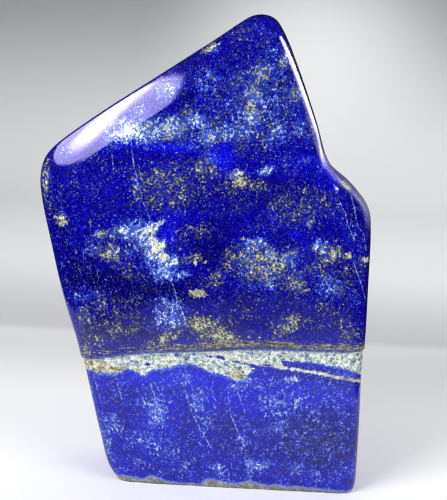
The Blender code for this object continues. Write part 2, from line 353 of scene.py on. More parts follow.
def build_mesh():
    P = surface_points()
    P, rim = rough_rim(P)
    rows, cols = P.shape[:2]
    # the flat sawn base: rings that shrink to its middle
    centre = P[0].mean(0)
    rings = []
    for f in (0.97, 0.9, 0.78, 0.62, 0.44, 0.24):
        ring = centre + (P[0] - centre) * f
        ring[:, 2] = 0.0
        rings.append(ring)
    P[0, :, 2] = 0.0
    peak = P[-1].mean(0)
    peak[2] = HEIGHT
    points = [r for r in reversed(rings)] + [P[k] for k in range(rows)]
    verts = np.concatenate([centre[None] * [1, 1, 0]] + points + [peak[None]])
    count = len(points)
    base = 1 + np.arange(count)[:, None] * cols + np.arange(cols)[None, :]
    right = np.roll(base, -1, 1)
    quads = np.stack([base[:-1], right[:-1], right[1:], base[1:]], -1).reshape(-1, 4)
    j = np.arange(cols)
    first, last = base[0], base[-1]
    below = np.stack([np.zeros(cols, int), np.roll(first, -1), first], -1)
    above = np.stack([np.full(cols, len(verts) - 1), last, np.roll(last, -1)], -1)
    mesh = bpy.data.meshes.new("lapis_stone")
    loops = np.concatenate([quads.ravel(), below.ravel(), above.ravel()])
    sizes = np.concatenate([np.full(len(quads), 4), np.full(2 * cols, 3)])
    starts = np.concatenate([[0], np.cumsum(sizes)[:-1]])
    placed = (verts - [MIDDLE[0], MIDDLE[1], 0.0]) * 0.001
    mesh.vertices.add(len(verts))
    mesh.vertices.foreach_set("co", placed.astype(np.float32).ravel())
    mesh.loops.add(len(loops))
    mesh.loops.foreach_set("vertex_index", loops.astype(np.int32))
    mesh.polygons.add(len(sizes))
    mesh.polygons.foreach_set("loop_start", starts.astype(np.int32))
    mesh.update(calc_edges=True)
    mesh.validate()
    mesh.shade_smooth()
    rim_all = np.concatenate([[1.0], np.ones(len(rings) * cols), rim.ravel(), [0.0]])
    return mesh, verts, rim_all


# ---------------------------------------------------------------- drawing the markings
FWD = np.array([math.sin(YAW) * math.cos(PITCH), math.cos(YAW) * math.cos(PITCH),
                -math.sin(PITCH)])
RIGHT0 = np.array([math.cos(YAW), -math.sin(YAW), 0.0])
UP0 = np.cross(RIGHT0, FWD)
RIGHT = math.cos(ROLL) * RIGHT0 + math.sin(ROLL) * UP0
UP = -math.sin(ROLL) * RIGHT0 + math.cos(ROLL) * UP0


def seen_at(p):
    q = p - EYE
    depth = q @ FWD
    return FRAME_W / 2 + FOCAL * (q @ RIGHT) / depth, FRAME_H / 2 - FOCAL * (q @ UP) / depth


def blobs(u, v, table):
    """Sum of soft-edged ellipses: (u, v, half width, half height, turn, amount)."""
    out = np.zeros_like(u)
    for cu, cv, ru, rv, turn, amount in table:
        reach = max(ru, rv) * 1.9
        near = np.flatnonzero((np.abs(u - cu) < reach) & (np.abs(v - cv) < reach))
        c, s = math.cos(math.radians(turn)), math.sin(math.radians(turn))
        a, b = u[near] - cu, v[near] - cv
        r2 = ((a * c + b * s) / ru) ** 2 + ((-a * s + b * c) / rv) ** 2
        out[near] += amount * np.exp(-1.1 * r2 * r2)
    return out


def line_sides(u, v, lines):
    """Signed distance across the nearest line, as if all were 0.45 wide either way, and
    the plain distance to it."""
    side, reach = np.full(u.shape, 30.0), np.full(u.shape, 30.0)
    for half, points in lines:
        P = np.array(points, float)
        lo, hi = P.min(0) - 12, P.max(0) + 12
        near = np.flatnonzero((u > lo[0]) & (u < hi[0]) & (v > lo[1]) & (v < hi[1]))
        for a, b in zip(P[:-1], P[1:]):
            d = b - a
            t = np.clip(((u[near] - a[0]) * d[0] + (v[near] - a[1]) * d[1]) / (d @ d), 0, 1)
            ex, ey = u[near] - a[0] - t * d[0], v[near] - a[1] - t * d[1]
            dist = np.hypot(ex, ey)
            closer = dist < reach[near]
            at = near[closer]
            cross = (ex * d[1] - ey * d[0])[closer] / np.hypot(*d)
            reach[at] = dist[closer]
            side[at] = cross * 0.45 / half
    return side, reach


def patches(u, v, table):
    """Largest of the hard-edged ellipses' inside depths, in the drawing's units."""
    out = np.full(u.shape, -30.0)
    for cu, cv, ru, rv, turn in table:
        reach = max(ru, rv) * 3 + 4
        near = np.flatnonzero((np.abs(u - cu) < reach) & (np.abs(v - cv) < reach))
        c, s = math.cos(math.radians(turn)), math.sin(math.radians(turn))
        a, b = u[near] - cu, v[near] - cv
        r = np.hypot((a * c + b * s) / ru, (-a * s + b * c) / rv)
        out[near] = np.maximum(out[near], (1.0 - r) * min(ru, rv))
    return out


# calcite content: 0.3 gives light blue speckle, 0.6 pale blue, 1 white
CALCITE = [
    # under the bright bevel: calcite; the light-blue glow along the highlight's lower edge and the white specks
    # within the highlight are partly painted highlight
    (156, 130, 30, 15, -10, 0.44), (138, 134, 16, 11, 0, 0.26), (172, 128, 12, 9, 0, 0.22),
    (118, 138, 18, 9, -25, 0.34),
    (168, 88, 16, 9, -30, 0.46), (190, 125, 20, 20, 0, 0.20), (270, 95, 44, 62, 0, 0.07),
    (128, 129, 24, 12, -28, 0.26), (165, 182, 38, 22, 0, 0.06), (64, 153, 12, 9, -40, 0.26), (84, 142, 20, 7, -32, 0.16),
    (196, 120, 10, 6, 0, 0.40), (186, 147, 12, 5, 0, 0.24), (161, 148, 5, 4, 0, 0.25),
    (120, 128, 16, 10, -20, 0.45), (140, 108, 12, 9, 0, 0.30), (165, 96, 12, 10, 0, 0.25),
    # the upper right, speckled
    (207, 137, 10, 12, 0, 0.42), (209, 158, 8, 12, 0, 0.30), (232, 133, 22, 10, 0, 0.32),
    (252, 118, 9, 9, 0, 0.36), (255, 96, 8, 10, 0, 0.28), (262, 72, 8, 10, 10, 0.27),
    (272, 50, 8, 7, 0, 0.24), (206, 80, 14, 18, 0, 0.18), (214, 50, 7, 4, -30, 0.32),
    (284, 60, 6, 8, 0, 0.25), (296, 94, 7, 8, 0, 0.24), (300, 128, 7, 9, 0, 0.26),
    (278, 132, 8, 8, 0, 0.24), (286, 120, 30, 40, 0, 0.14), (225, 100, 40, 35, 0, 0.12),
    (268, 80, 34, 36, 0, 0.10), (250, 130, 40, 20, 0, 0.07),
    (237, 174, 10, 7, 0, 0.34), (266, 171, 10, 5, -18, 0.58), (222, 160, 12, 6, 0, 0.16),
    (306, 160, 10, 4, -20, 0.26), (320, 168, 5, 6, 0, 0.30), (262, 30, 16, 8, 0, 0.10),
    # the main white patch and its halo
    (153, 228, 7, 6, 0, 0.66), (161, 222, 5, 3, -25, 0.56), (149, 238, 8, 8, 0, 0.54),
    (155, 249, 8, 10, 20, 0.66), (163, 244, 4, 6, 0, 0.50), (166, 262, 10, 10, 30, 0.56),
    (134, 236, 24, 16, 10, 0.14), (168, 262, 22, 18, 30, 0.12),
    (176, 261, 4, 8, 0, 0.48), (160, 275, 11, 8, 0, 0.48), (138, 230, 15, 11, 0, 0.48),
    (118, 232, 14, 6, 0, 0.30), (141, 247, 8, 8, 0, 0.28), (98, 233, 5, 4, 0, 0.30),
    (174, 276, 9, 6, 0, 0.40), (148, 262, 8, 8, 0, 0.35), (184, 274, 9, 4, 0, 0.26), (126, 222, 16, 5, -12, 0.14),
    # under it, the hazy patch with white specks
    (170, 311, 20, 17, 30, 0.32), (163, 303, 9, 7, 0, 0.12), (178, 324, 10, 10, 30, 0.22),
    (172, 308, 6, 7, 0, 0.14), (160, 325, 15, 10, 0, 0.24),
    # left side
    (62, 216, 6, 5, 0, 0.22), (92, 250, 10, 5, 0, 0.24), (112, 250, 6, 6, 0, 0.24),
    (128, 253, 5, 5, 0, 0.26), (78, 296, 10, 6, 0, 0.30), (96, 294, 9, 6, 0, 0.22),
    (84, 316, 7, 7, 0, 0.22), (76, 328, 6, 8, 0, 0.20), (90, 268, 10, 8, 0, 0.10),
    (46, 178, 5, 14, 0, 0.24), (58, 196, 5, 9, 0, 0.22), (136, 190, 4, 18, -6, 0.22),
    (70, 234, 12, 8, 40, 0.12), (96, 242, 14, 10, 0, 0.10), (66, 255, 10, 20, 0, 0.06),
    # right side, mottled
    (254, 244, 15, 7, 0, 0.50), (243, 258, 7, 8, 0, 0.36), (271, 254, 6, 7, 0, 0.60),
    (290, 257, 9, 8, 0, 0.42), (262, 265, 24, 14, 0, 0.18), (268, 286, 9, 5, 0, 0.36),
    (250, 280, 16, 8, 0, 0.16), (300, 284, 7, 9, 0, 0.22), (282, 270, 20, 12, 0, 0.16),
    (320, 245, 11, 8, 0, 0.45), (330, 256, 14, 6, 0, 0.25), (318, 270, 20, 10, 0, 0.12),
    (330, 288, 14, 12, 0, 0.36), (352, 302, 9, 7, 0, 0.18), (258, 300, 5, 4, 0, 0.34),
    (310, 223, 8, 4, 20, 0.26), (362, 260, 7, 6, 0, 0.30), (356, 240, 9, 12, 0, 0.18),
    (290, 226, 18, 6, 0, 0.10), (336, 189, 3, 4, 0, 0.45), (345, 215, 14, 24, 0, 0.07),
    (286, 322, 14, 10, 0, 0.12), (300, 204, 36, 14, 0, 0.05),
    # lower face
    (150, 402, 12, 8, 0, 0.26), (158, 416, 12, 13, 30, 0.36), (112, 422, 8, 11, 0, 0.26),
    (198, 402, 8, 15, 12, 0.34), (206, 424, 6, 14, 20, 0.26), (140, 436, 26, 7, 10, 0.18),
    (160, 449, 22, 7, 18, 0.22), (184, 467, 9, 6, 0, 0.20), (220, 472, 12, 7, 30, 0.28),
    (184, 376, 9, 9, 0, 0.22), (238, 388, 12, 10, 0, 0.16), (262, 383, 26, 9, 5, 0.14),
    (284, 404, 26, 14, -10, 0.18), (328, 389, 28, 8, 14, 0.12), (277, 427, 15, 5, -22, 0.24),
    (256, 464, 13, 5, 8, 0.48), (249, 472, 5, 8, 0, 0.40), (298, 468, 9, 7, 0, 0.22),
    (316, 476, 6, 8, 0, 0.22), (340, 474, 14, 8, 0, 0.12), (105, 440, 6, 22, -10, 0.20),
    (292, 380, 9, 3, 0, 0.60), (128, 466, 20, 8, 0, 0.10), (243, 443, 7, 9, 0, 0.20),
    (300, 440, 40, 26, 0, 0.04), (318, 410, 30, 16, 0, 0.08), (165, 388, 30, 8, 0, 0.10),
]

# pyrite and its olive dust
PYRITE = [
    (168, 188, 38, 26, -8, 0.35), (204, 168, 14, 9, 10, 0.52), (240, 180, 12, 10, 25, 0.56),
    (258, 185, 8, 8, 0, 0.36), (225, 182, 20, 12, 0, 0.22), (150, 172, 30, 12, 0, 0.14),
    (302, 204, 40, 18, 4, 0.30), (318, 208, 24, 12, 0, 0.08), (282, 212, 20, 10, 0, 0.06),
    # the pyrite at the bevel's upper right is partly painted glints within the highlight
    (168, 88, 16, 9, -30, 0.26), (150, 128, 18, 9, 0, 0.22), (342, 178, 5, 12, -40, 0.55),
    (286, 166, 6, 10, 0, 0.36), (250, 140, 30, 20, 0, 0.14), (212, 128, 14, 18, 0, 0.26),
    (262, 74, 12, 12, 20, 0.40), (254, 104, 12, 18, 0, 0.32), (286, 62, 9, 8, 0, 0.40),
    (210, 47, 10, 5, -32, 0.62), (240, 34, 18, 8, -30, 0.26), (298, 96, 9, 10, 0, 0.26),
    (230, 98, 30, 26, 0, 0.16), (310, 130, 8, 14, 0, 0.26), (274, 130, 6, 6, 0, 0.30),
    (176, 132, 16, 14, 0, 0.30), (188, 112, 10, 9, 0, 0.28), (150, 118, 20, 10, 0, 0.16),
    (198, 150, 14, 12, 0, 0.16), (62, 220, 8, 7, 15, 0.62), (100, 234, 6, 5, 0, 0.40),
    (115, 234, 10, 6, 0, 0.34), (104, 254, 14, 7, 10, 0.40), (122, 268, 26, 8, 38, 0.30),
    (112, 250, 8, 8, 0, 0.28), (150, 232, 9, 7, 0, 0.30), (198, 232, 22, 8, 0, 0.34),
    (196, 257, 7, 6, 0, 0.42), (186, 260, 7, 5, 0, 0.36), (228, 258, 8, 12, 10, 0.36),
    (216, 276, 10, 12, 0, 0.34), (204, 282, 16, 6, 0, 0.20), (178, 242, 8, 7, 0, 0.26),
    (258, 262, 30, 18, 0, 0.32), (296, 284, 10, 10, 0, 0.42), (280, 282, 24, 8, 0, 0.20),
    (336, 252, 14, 8, 10, 0.36), (348, 286, 14, 18, 0, 0.24), (330, 300, 20, 10, 0, 0.14),
    (210, 330, 22, 15, 5, 0.68), (228, 340, 18, 8, 10, 0.55), (196, 322, 16, 8, 0, 0.30),
    (285, 325, 18, 10, -10, 0.50), (270, 338, 30, 8, 0, 0.22), (320, 320, 40, 16, 0, 0.20),
    (350, 335, 16, 14, 0, 0.34), (156, 343, 20, 7, -20, 0.62), (172, 334, 12, 8, -30, 0.45),
    (128, 325, 18, 11, 0, 0.34), (100, 330, 24, 14, 10, 0.26), (84, 316, 8, 9, 0, 0.36),
    (90, 344, 16, 9, 0, 0.34), (112, 308, 22, 8, 0, 0.20), (95, 300, 14, 10, 0, 0.20),
    (140, 300, 30, 12, 0, 0.08), (240, 316, 30, 12, 0, 0.14), (250, 200, 40, 20, 0, 0.10),
    (44, 172, 7, 24, 0, 0.50), (50, 205, 6, 14, -14, 0.30), (348, 184, 7, 8, 40, 0.60),
    (362, 262, 6, 8, 0, 0.36), (368, 215, 4, 10, 0, 0.25), (86, 354, 6, 5, 0, 0.62),
    (262, 268, 34, 22, 0, 0.24), (300, 262, 40, 20, 0, 0.16), (332, 264, 24, 18, 0, 0.18),
    (288, 225, 36, 14, 0, 0.17), (92, 192, 44, 30, 0, 0.07), (270, 95, 44, 62, 0, 0.08),
    (112, 246, 26, 14, 10, 0.14), (128, 268, 34, 12, 30, 0.10), (114, 318, 52, 26, 0, 0.05),
    (176, 128, 24, 15, 0, 0.11), (156, 136, 26, 10, -10, 0.14), (92, 178, 50, 20, 0, 0.05),
    (240, 298, 60, 13, 0, 0.10), (272, 92, 40, 56, 0, 0.09), (306, 296, 40, 12, 0, 0.08),
    (190, 196, 50, 20, 0, 0.08), (150, 246, 20, 22, 20, 0.16),
    # lower face
    (316, 440, 36, 22, 0, 0.18), (340, 452, 20, 18, 0, 0.12), (148, 390, 8, 10, 0, 0.14),
    (112, 395, 10, 24, -10, 0.14), (104, 438, 7, 16, -12, 0.22), (224, 412, 12, 16, 0, 0.10),
    (192, 452, 26, 10, 0, 0.10), (290, 470, 30, 10, 0, 0.12), (250, 430, 30, 16, 0, 0.06),
]

# brighter (+) and darker (-) blue
TONE = [
    (222, 156, 14, 16, 0, 0.36), (112, 180, 20, 14, 0, 0.04), (130, 138, 24, 8, -20, 0.30),
    (178, 148, 20, 6, 0, 0.35), (150, 145, 20, 6, 0, 0.25), (300, 308, 60, 24, 0, -0.08),
    (300, 165, 30, 12, 0, 0.16), (330, 178, 12, 14, 0, 0.20), (168, 236, 10, 10, 0, 0.30),
    (190, 218, 26, 9, 0, 0.14), (276, 228, 32, 10, 0, 0.04), (300, 240, 14, 10, 0, 0.08),
    (304, 256, 10, 8, 0, 0.10), (322, 300, 16, 8, 0, 0.06), (172, 212, 10, 20, 0, 0.14),
    (172, 190, 40, 20, -6, -0.04), (216, 205, 36, 20, 10, -0.08), (130, 288, 44, 18, 8, -0.30),
    (86, 272, 28, 16, 12, -0.22), (184, 292, 24, 18, 0, -0.22), (236, 300, 26, 12, 0, -0.14),
    (196, 68, 16, 20, -30, -0.12), (188, 98, 8, 9, 0, -0.26), (159, 118, 6, 6, 0, -0.16),
    (184, 110, 7, 7, 0, -0.16), (212, 245, 22, 26, 0, -0.20), (346, 270, 18, 10, 0, -0.12),
    (262, 88, 12, 8, 0, -0.12), (288, 84, 10, 12, 0, -0.14), (270, 194, 50, 14, 6, -0.14),
    (358, 206, 10, 26, 0, -0.16), (62, 232, 12, 70, -14, -0.16), (120, 328, 52, 20, 0, -0.20), (215, 328, 38, 14, 0, -0.16), (265, 95, 44, 60, 0, -0.06),
    (240, 60, 12, 20, 0, -0.06), (256, 216, 26, 8, 0, 0.06),
    # lower face
    (170, 378, 60, 9, 0, 0.26), (250, 392, 60, 22, 0, 0.16), (320, 392, 40, 14, 6, 0.08),
    (160, 418, 26, 26, 0, 0.12), (204, 404, 12, 20, 0, 0.12), (318, 440, 44, 30, 0, -0.32),
    (224, 430, 14, 24, 0, -0.16), (188, 430, 12, 30, 10, -0.12), (128, 410, 14, 26, 0, -0.08),
    (250, 450, 30, 10, 0, -0.14), (190, 470, 60, 8, 0, -0.06),
    (325, 377, 44, 7, 10, -0.25),
]

VEINS = [
    # main vein through the white patch
    (0.36, [(130, 134), (132, 150), (134, 166)]),
    (0.20, [(134, 166), (137, 178), (140, 190), (143, 202)]),
    (0.36, [(143, 202), (147, 212), (151, 222)]),
    (0.43, [(146, 209), (149, 216), (152, 223)]),
    (0.29, [(160, 262), (165, 270), (168, 277), (172, 283), (175, 291), (177, 300), (181, 308),
           (185, 320), (190, 330)]),
    # lower face
    (0.32, [(114, 372), (117, 382), (119, 389), (121, 396)]),
    (0.43, [(184, 387), (188, 400), (192.6, 414), (200.5, 429), (208.4, 443)]),
    (0.36, [(228, 398), (231, 415), (237, 430), (242, 440), (246, 450), (245, 459), (247, 468),
            (250, 479)]),
    (0.29, [(151, 385), (154, 394), (157, 403), (161, 414), (163, 424), (162, 434), (161, 443)]),
    (0.32, [(183, 374), (186, 378), (190, 384)]),
    (0.25, [(236, 388), (240, 398), (244, 409)]),
    (0.22, [(207, 388), (212, 395), (217, 402)]),
    (0.22, [(94, 376), (97, 388), (101, 402)]),
    # right side
    (0.32, [(334, 186), (338, 196), (341, 205), (345, 212), (347, 220), (349, 228), (354, 238)]),
    (0.36, [(349.5, 192), (354.6, 208), (356, 220), (359, 228), (364, 235), (366, 249)]),
    (0.29, [(354, 264), (358, 275), (362, 286), (365, 298)]),
    # short scratches of calcite
    (0.22, [(259, 112), (253, 116), (246, 121), (236, 127), (228, 131)]),
    (0.24, [(90, 220), (90.5, 226)]), (0.18, [(83, 250), (83.5, 257)]),
    (0.16, [(97, 272), (98, 277)]), (0.25, [(111, 246), (114, 251), (116, 256)]),
    (0.25, [(126, 247), (127, 253), (126, 259)]), (0.25, [(339, 362), (342, 357)]),
    (0.32, [(112, 155), (113, 164), (113.5, 172)]),
    # the crease beside the right shoulder's facet
    (0.29, [(327, 161), (331, 168), (336, 175), (341, 182), (347, 190)]),
]

CREAM = [
    (197.5, 293.3, 9.6, 4.8, 4), (61, 218, 6.2, 3.6, 10), (64.5, 222, 5, 3, 20),
    (100, 233.4, 3.6, 2.6, -20), (173, 237, 1.9, 2.2, 0), (181, 238.5, 2.6, 1.8, 0),
    (180, 248.5, 2.6, 2.2, 0), (117, 252, 2.4, 3.6, 30), (127, 256, 1.7, 3.0, 0),
    (322, 251.5, 4.2, 2.8, 0), (326.5, 260, 2.6, 2.6, 0), (334, 254, 2.8, 5.6, -18),
    (347, 256.5, 4.8, 4.2, -20), (366, 259.5, 3.4, 3.6, 0), (274, 131, 1.9, 2.8, 10),
    (245, 240, 4.4, 3.2, 30), (256, 243, 3.0, 2.0, 0), (271, 254, 1.8, 2.0, 0),
    (336, 241, 1.8, 2.2, 0), (264, 172, 2.2, 2.2, -30), (161, 222.4, 4.8, 2.1, -24),
    (156, 228, 4.4, 3.8, 0), (156, 248, 5.0, 5.6, 25), (152, 240, 3.4, 3.4, 0),
    (163.4, 244, 2.2, 4.0, 10), (165, 256, 6.0, 4.4, 35), (176, 262, 1.9, 5.6, -8),
    (212, 47.5, 7.0, 2.2, -30), (238, 173, 4.6, 2.8, 0), (242, 183, 3.4, 3.4, 20),
    (285, 328, 2.4, 2.2, 0), (291, 322, 2.8, 2.0, 0), (86, 353, 2.6, 2.4, 0),
    (266, 78, 2.2, 1.8, 0), (292, 55, 2.0, 2.0, 0), (45, 184, 2.6, 6.0, -5), (295, 379.6, 5.6, 2.0, 0),
    (110, 243, 1.8, 3.4, -20), (118, 250, 2.2, 3.6, 20), (129, 246, 1.4, 3.8, 0), (92, 246, 1.8, 1.6, 0),
    (122, 231, 3.0, 1.8, 0), (112, 236, 2.6, 2.0, 0), (104, 252, 1.8, 1.6, 0), (134, 266, 2.2, 1.8, 0),
    (196, 262, 2.6, 2.2, 0), (205, 262, 2.4, 2.0, 0), (148, 268, 1.8, 2.2, 0), (142, 236, 2.0, 1.8, 0),
    (288, 248, 2.0, 2.4, 0), (262, 259, 2.4, 1.8, 20), (282, 262, 1.8, 2.6, 0), (296, 270, 2.2, 1.8, 0),
    (252, 272, 1.8, 2.2, 0), (306, 290, 2.4, 2.0, 0), (330, 283, 2.2, 2.6, 10),
]

# lower edge of the pale band, left to right, in the drawing
BAND_FOOT = [(70, 368), (87, 369), (99, 372.5), (116, 373.6), (122, 372.4), (125, 369.5),
             (128, 368.5), (133, 370), (139, 373.6), (145, 375.5), (149, 371), (153, 369),
             (160, 369), (171, 367), (180, 363.9), (192, 363.7), (200, 366.5), (210, 371.6),
             (220, 373.5), (231, 378.5), (238, 381.6), (244, 379), (249, 373), (255, 368),
             (262, 366), (272, 366.5), (281, 366), (284, 361.5), (297, 362), (309, 362),
             (326, 365), (343, 368), (360, 374), (372, 377)]
BAND_SEAM = [(1.5, [(211, 352.5), (222, 354.6), (234, 358), (247, 361), (260, 363.8),
                    (276, 366.4), (292, 369), (305, 371), (317, 373), (335, 377),
                    (350, 379.4), (364, 381.5)])]


# blue left inside the band: slivers over the cream seam, chips and spots
CHIPS = [
    (220, 357.4, 5.0, 1.5, 14), (235.5, 361.8, 4.6, 1.2, 16), (253, 366.0, 7.6, 1.7, 14),
    (268, 365.4, 5.0, 0.9, 12), (176, 355.2, 1.8, 1.2, 0), (194, 354.6, 2.2, 1.0, 0),
    (210, 356.2, 2.4, 1.0, 10), (285, 362.2, 3.0, 1.6, 0), (297, 362.2, 3.4, 1.4, 8),
    (309, 362.8, 3.0, 1.1, 10), (148, 364.2, 3.4, 1.6, 0), (131, 361.2, 2.0, 1.1, 0),
    (322, 364.6, 2.4, 0.9, 12), (335, 367.4, 2.2, 0.8, 14), (186, 359.6, 1.6, 0.9, 0),
]


def hidden_sides(p):
    """The same kinds of marking for the surfaces that the drawing doesn't reach."""
    tone = 0.44 + 0.26 * cloud(p, 34, 5) + 0.14 * cloud(p, 15, 6)
    calcite = 0.02 + 0.26 * smooth(0.10, 0.75, cloud(p, 26, 7)) + 0.34 * smooth(
        0.36, 0.8, cloud(p, 13, 8)) * smooth(-0.3, 0.5, cloud(p, 46, 9))
    calcite = calcite + 0.55 * smooth(0.52, 0.85, cloud(p * [1.0, 1.0, 0.7], 17, 10))
    pyrite = 0.08 + 0.34 * smooth(0.0, 0.7, cloud(p * [1, 1, 1.6], 30, 11)) + 0.32 * smooth(
        0.35, 0.8, cloud(p, 12, 12))
    side, reach = np.full(len(p), 30.0), np.full(len(p), 30.0)
    sheets = [((0.93, 0.10, -0.34), -22.0, 1.0), ((0.95, -0.12, 0.30), 34.0, 2.0),
              ((0.88, 0.22, -0.42), 8.0, 3.0), ((0.97, 0.05, -0.24), -58.0, 4.0),
              ((0.90, -0.20, -0.40), 52.0, 5.0)]
    for k, (way, off, seed) in enumerate(sheets):
        w = np.array(way) / np.linalg.norm(way)
        d = 2.0 * (p @ w - off + 3.0 * cloud(p, 38, 20 + seed) + 0.7 * cloud(p, 9, 30 + seed))
        away = np.abs(d) + 6.0 * smooth(0.15, -0.25, cloud(p, 40, 40 + seed))
        closer = away < reach
        side, reach = np.where(closer, d, side), np.where(closer, away, reach)
    cream = -4.0 + 9.0 * (cloud(p, 7.5, 13) - 0.52) + 3.0 * smooth(0.2, 0.7, cloud(p, 30, 14))
    return tone, calcite, pyrite, side, reach, cream


def paint(mesh, p, rim):
    """Writes the marking fields to the mesh as point attributes."""
    n = len(p)
    normal = np.empty(n * 3, np.float32)
    mesh.vertices.foreach_get("normal", normal)
    normal = normal.reshape(-1, 3).astype(float)
    view = EYE - p
    view /= np.linalg.norm(view, axis=1)[:, None]
    facing = (normal * view).sum(1)
    w = smooth(0.02, 0.30, facing) * smooth(-2.0, -9.0, p[:, 1] - 0.0)
    u, v = seen_at(p)
    tone_h, calcite_h, pyrite_h, side_h, reach_h, cream_h = hidden_sides(p)
    lower = smooth(0.5, -0.5, p[:, 2] - ledge_height(p[:, 0]))

    tone = 0.46 + 0.13 * lower + blobs(u, v, TONE)
    calcite = 0.065 + 0.20 * lower + 1.12 * blobs(u, v, CALCITE)
    pyrite = 0.15 - 0.08 * lower + blobs(u, v, PYRITE)
    side, reach = line_sides(u, v, VEINS)
    cream = patches(u, v, CREAM)
    chip = patches(u, v, CHIPS)

    def both(front, hidden):
        return front * w + hidden * (1 - w)
    tone = both(tone, tone_h + 0.05 * lower)
    calcite = both(calcite, calcite_h)
    pyrite = both(pyrite, pyrite_h)
    side, reach = np.where(w > 0.5, side, side_h), np.where(w > 0.5, reach, reach_h)
    cream = both(cream, cream_h)

    # the pale band: on the front between the ledge and its drawn foot, elsewhere a layer
    t = p[:, 2] - ledge_height(p[:, 0])
    foot = np.interp(u, [q[0] for q in BAND_FOOT], [q[1] for q in BAND_FOOT])
    seam = BAND_SEAM[0][0] - line_sides(u, v, BAND_SEAM)[1]
    front_band = np.maximum((foot - v) * 0.5, 0.5 * seam)
    front_band = np.minimum(front_band, -(t + 0.7))
    x, y = p[:, 0], p[:, 1]
    top = -0.7 + 0.02 * (y + 30.0) + 2.2 * cloud(p * [1, 1, 0.3], 30, 15) * smooth(-22, 5, y)
    thick = np.interp(x, [-80, -40, 0, 40, 84], [5.0, 6.0, 8.5, 9.0, 13.0])
    thick = thick * (1.0 + 0.55 * cloud(p * [1, 1, 0.2], 24, 16) * smooth(-22, 5, y))
    side_band = np.minimum(top - t, t - (top - thick))
    band = both(front_band, side_band)
    seam = both(seam, np.full(n, -8.0))
    chip = both(chip, -2.0 + 5.0 * (cloud(p * [1, 1, 2], 6.0, 24) - 0.35))
    # tan in the band: at its left end and in the lump that hangs from its middle
    tan = blobs(u, v, [(103, 368, 24, 6, 3, 0.95), (88, 364, 14, 8, 0, 0.95),
                       (137, 370, 6, 5, 0, 0.75), (236, 372, 14, 11, 20, 0.60),
                       (275, 356, 14, 6, 10, 0.40), (345, 376, 24, 5, 10, 0.75),
                       (310, 371, 18, 3, 10, 0.25)])
    tan = both(tan, 0.45 + 0.5 * cloud(p, 16, 17))
    # the drab strip over the ledge, and the edges darkened toward drab where they turn away from the view: painted
    # shade
    high = t + 0.5 * cloud(p, 9, 18)
    strip = smooth(0.4, 1.2, high) * (1 - smooth(3.4, 5.6, high))
    strip = strip * np.interp(u, [80, 130, 165, 200, 364], [0.30, 0.48, 0.80, 0.95, 0.90])
    strip = both(strip, strip * 0.5)
    above = both(t, np.full(n, 9.0))
    edge = smooth(0.60, 0.15, facing) * w * (0.55 + 0.35 * cloud(p, 14, 19))
    d = outline_distance(x, p[:, 2])
    behind = y - front_y(x, p[:, 2]) - EDGE_ROUND - (BEVEL_DEPTH - EDGE_ROUND) * bevel_share(
        x, p[:, 2])
    # painted shade: a near-black line just inside the outline, where the upper edges turn away from the view
    outline_shade = np.maximum(smooth(0.46, 0.14, facing), smooth(-1.7, -0.7, d) * smooth(
        90.0, 110.0, p[:, 2])) * smooth(-0.3, -2.2, behind)
    dull = smooth(54, 60, x) * smooth(134, 144, p[:, 2]) * (1.0 - smooth(172, 180, p[:, 2]))
    dull = dull * smooth(-4.6, -3.4, d) * smooth(12.0, 4.0, y)
    # the same drab darkening on the side walls that the drawing doesn't reach
    edge = edge + 0.30 * (1 - w) * smooth(0.45, 0.9, 1 - np.abs(normal[:, 1])) * (
        0.5 + 0.5 * cloud(p, 18, 21))
    base = smooth(0.15, 0.02, p[:, 2]) * smooth(-0.6, -0.9, normal[:, 2])
    # the pale, broken skin at the foot
    foot_reach = 2.0 + 0.9 * cloud(p * [1, 1, 0], 17, 22) + 0.8 * cloud(p * [1, 1, 0], 5, 23)
    wide_foot = np.interp(u, [110, 117, 124, 160, 168, 200, 206, 248, 262, 300, 320, 360],
                          [0.5, 1.5, 1.7, 1.5, 0.6, 0.5, 2.0, 2.1, 1.2, 1.3, 0.6, 0.6])
    rimmed = foot_reach * both(wide_foot, np.ones(n)) - p[:, 2]

    for name, value in (("tone", tone), ("calcite", calcite), ("pyrite", pyrite),
                        ("vein_side", side), ("vein_reach", reach), ("cream", cream),
                        ("band", band), ("seam", seam), ("chip", chip), ("tan", tan),
                        ("strip", strip), ("above", above), ("edge", edge), ("sawn", base),
                        ("outline_shade", outline_shade), ("dull", dull),
                        ("rim", rimmed)):
        a = mesh.attributes.new(name, "FLOAT", "POINT")
        a.data.foreach_set("value", np.ascontiguousarray(value, np.float32))


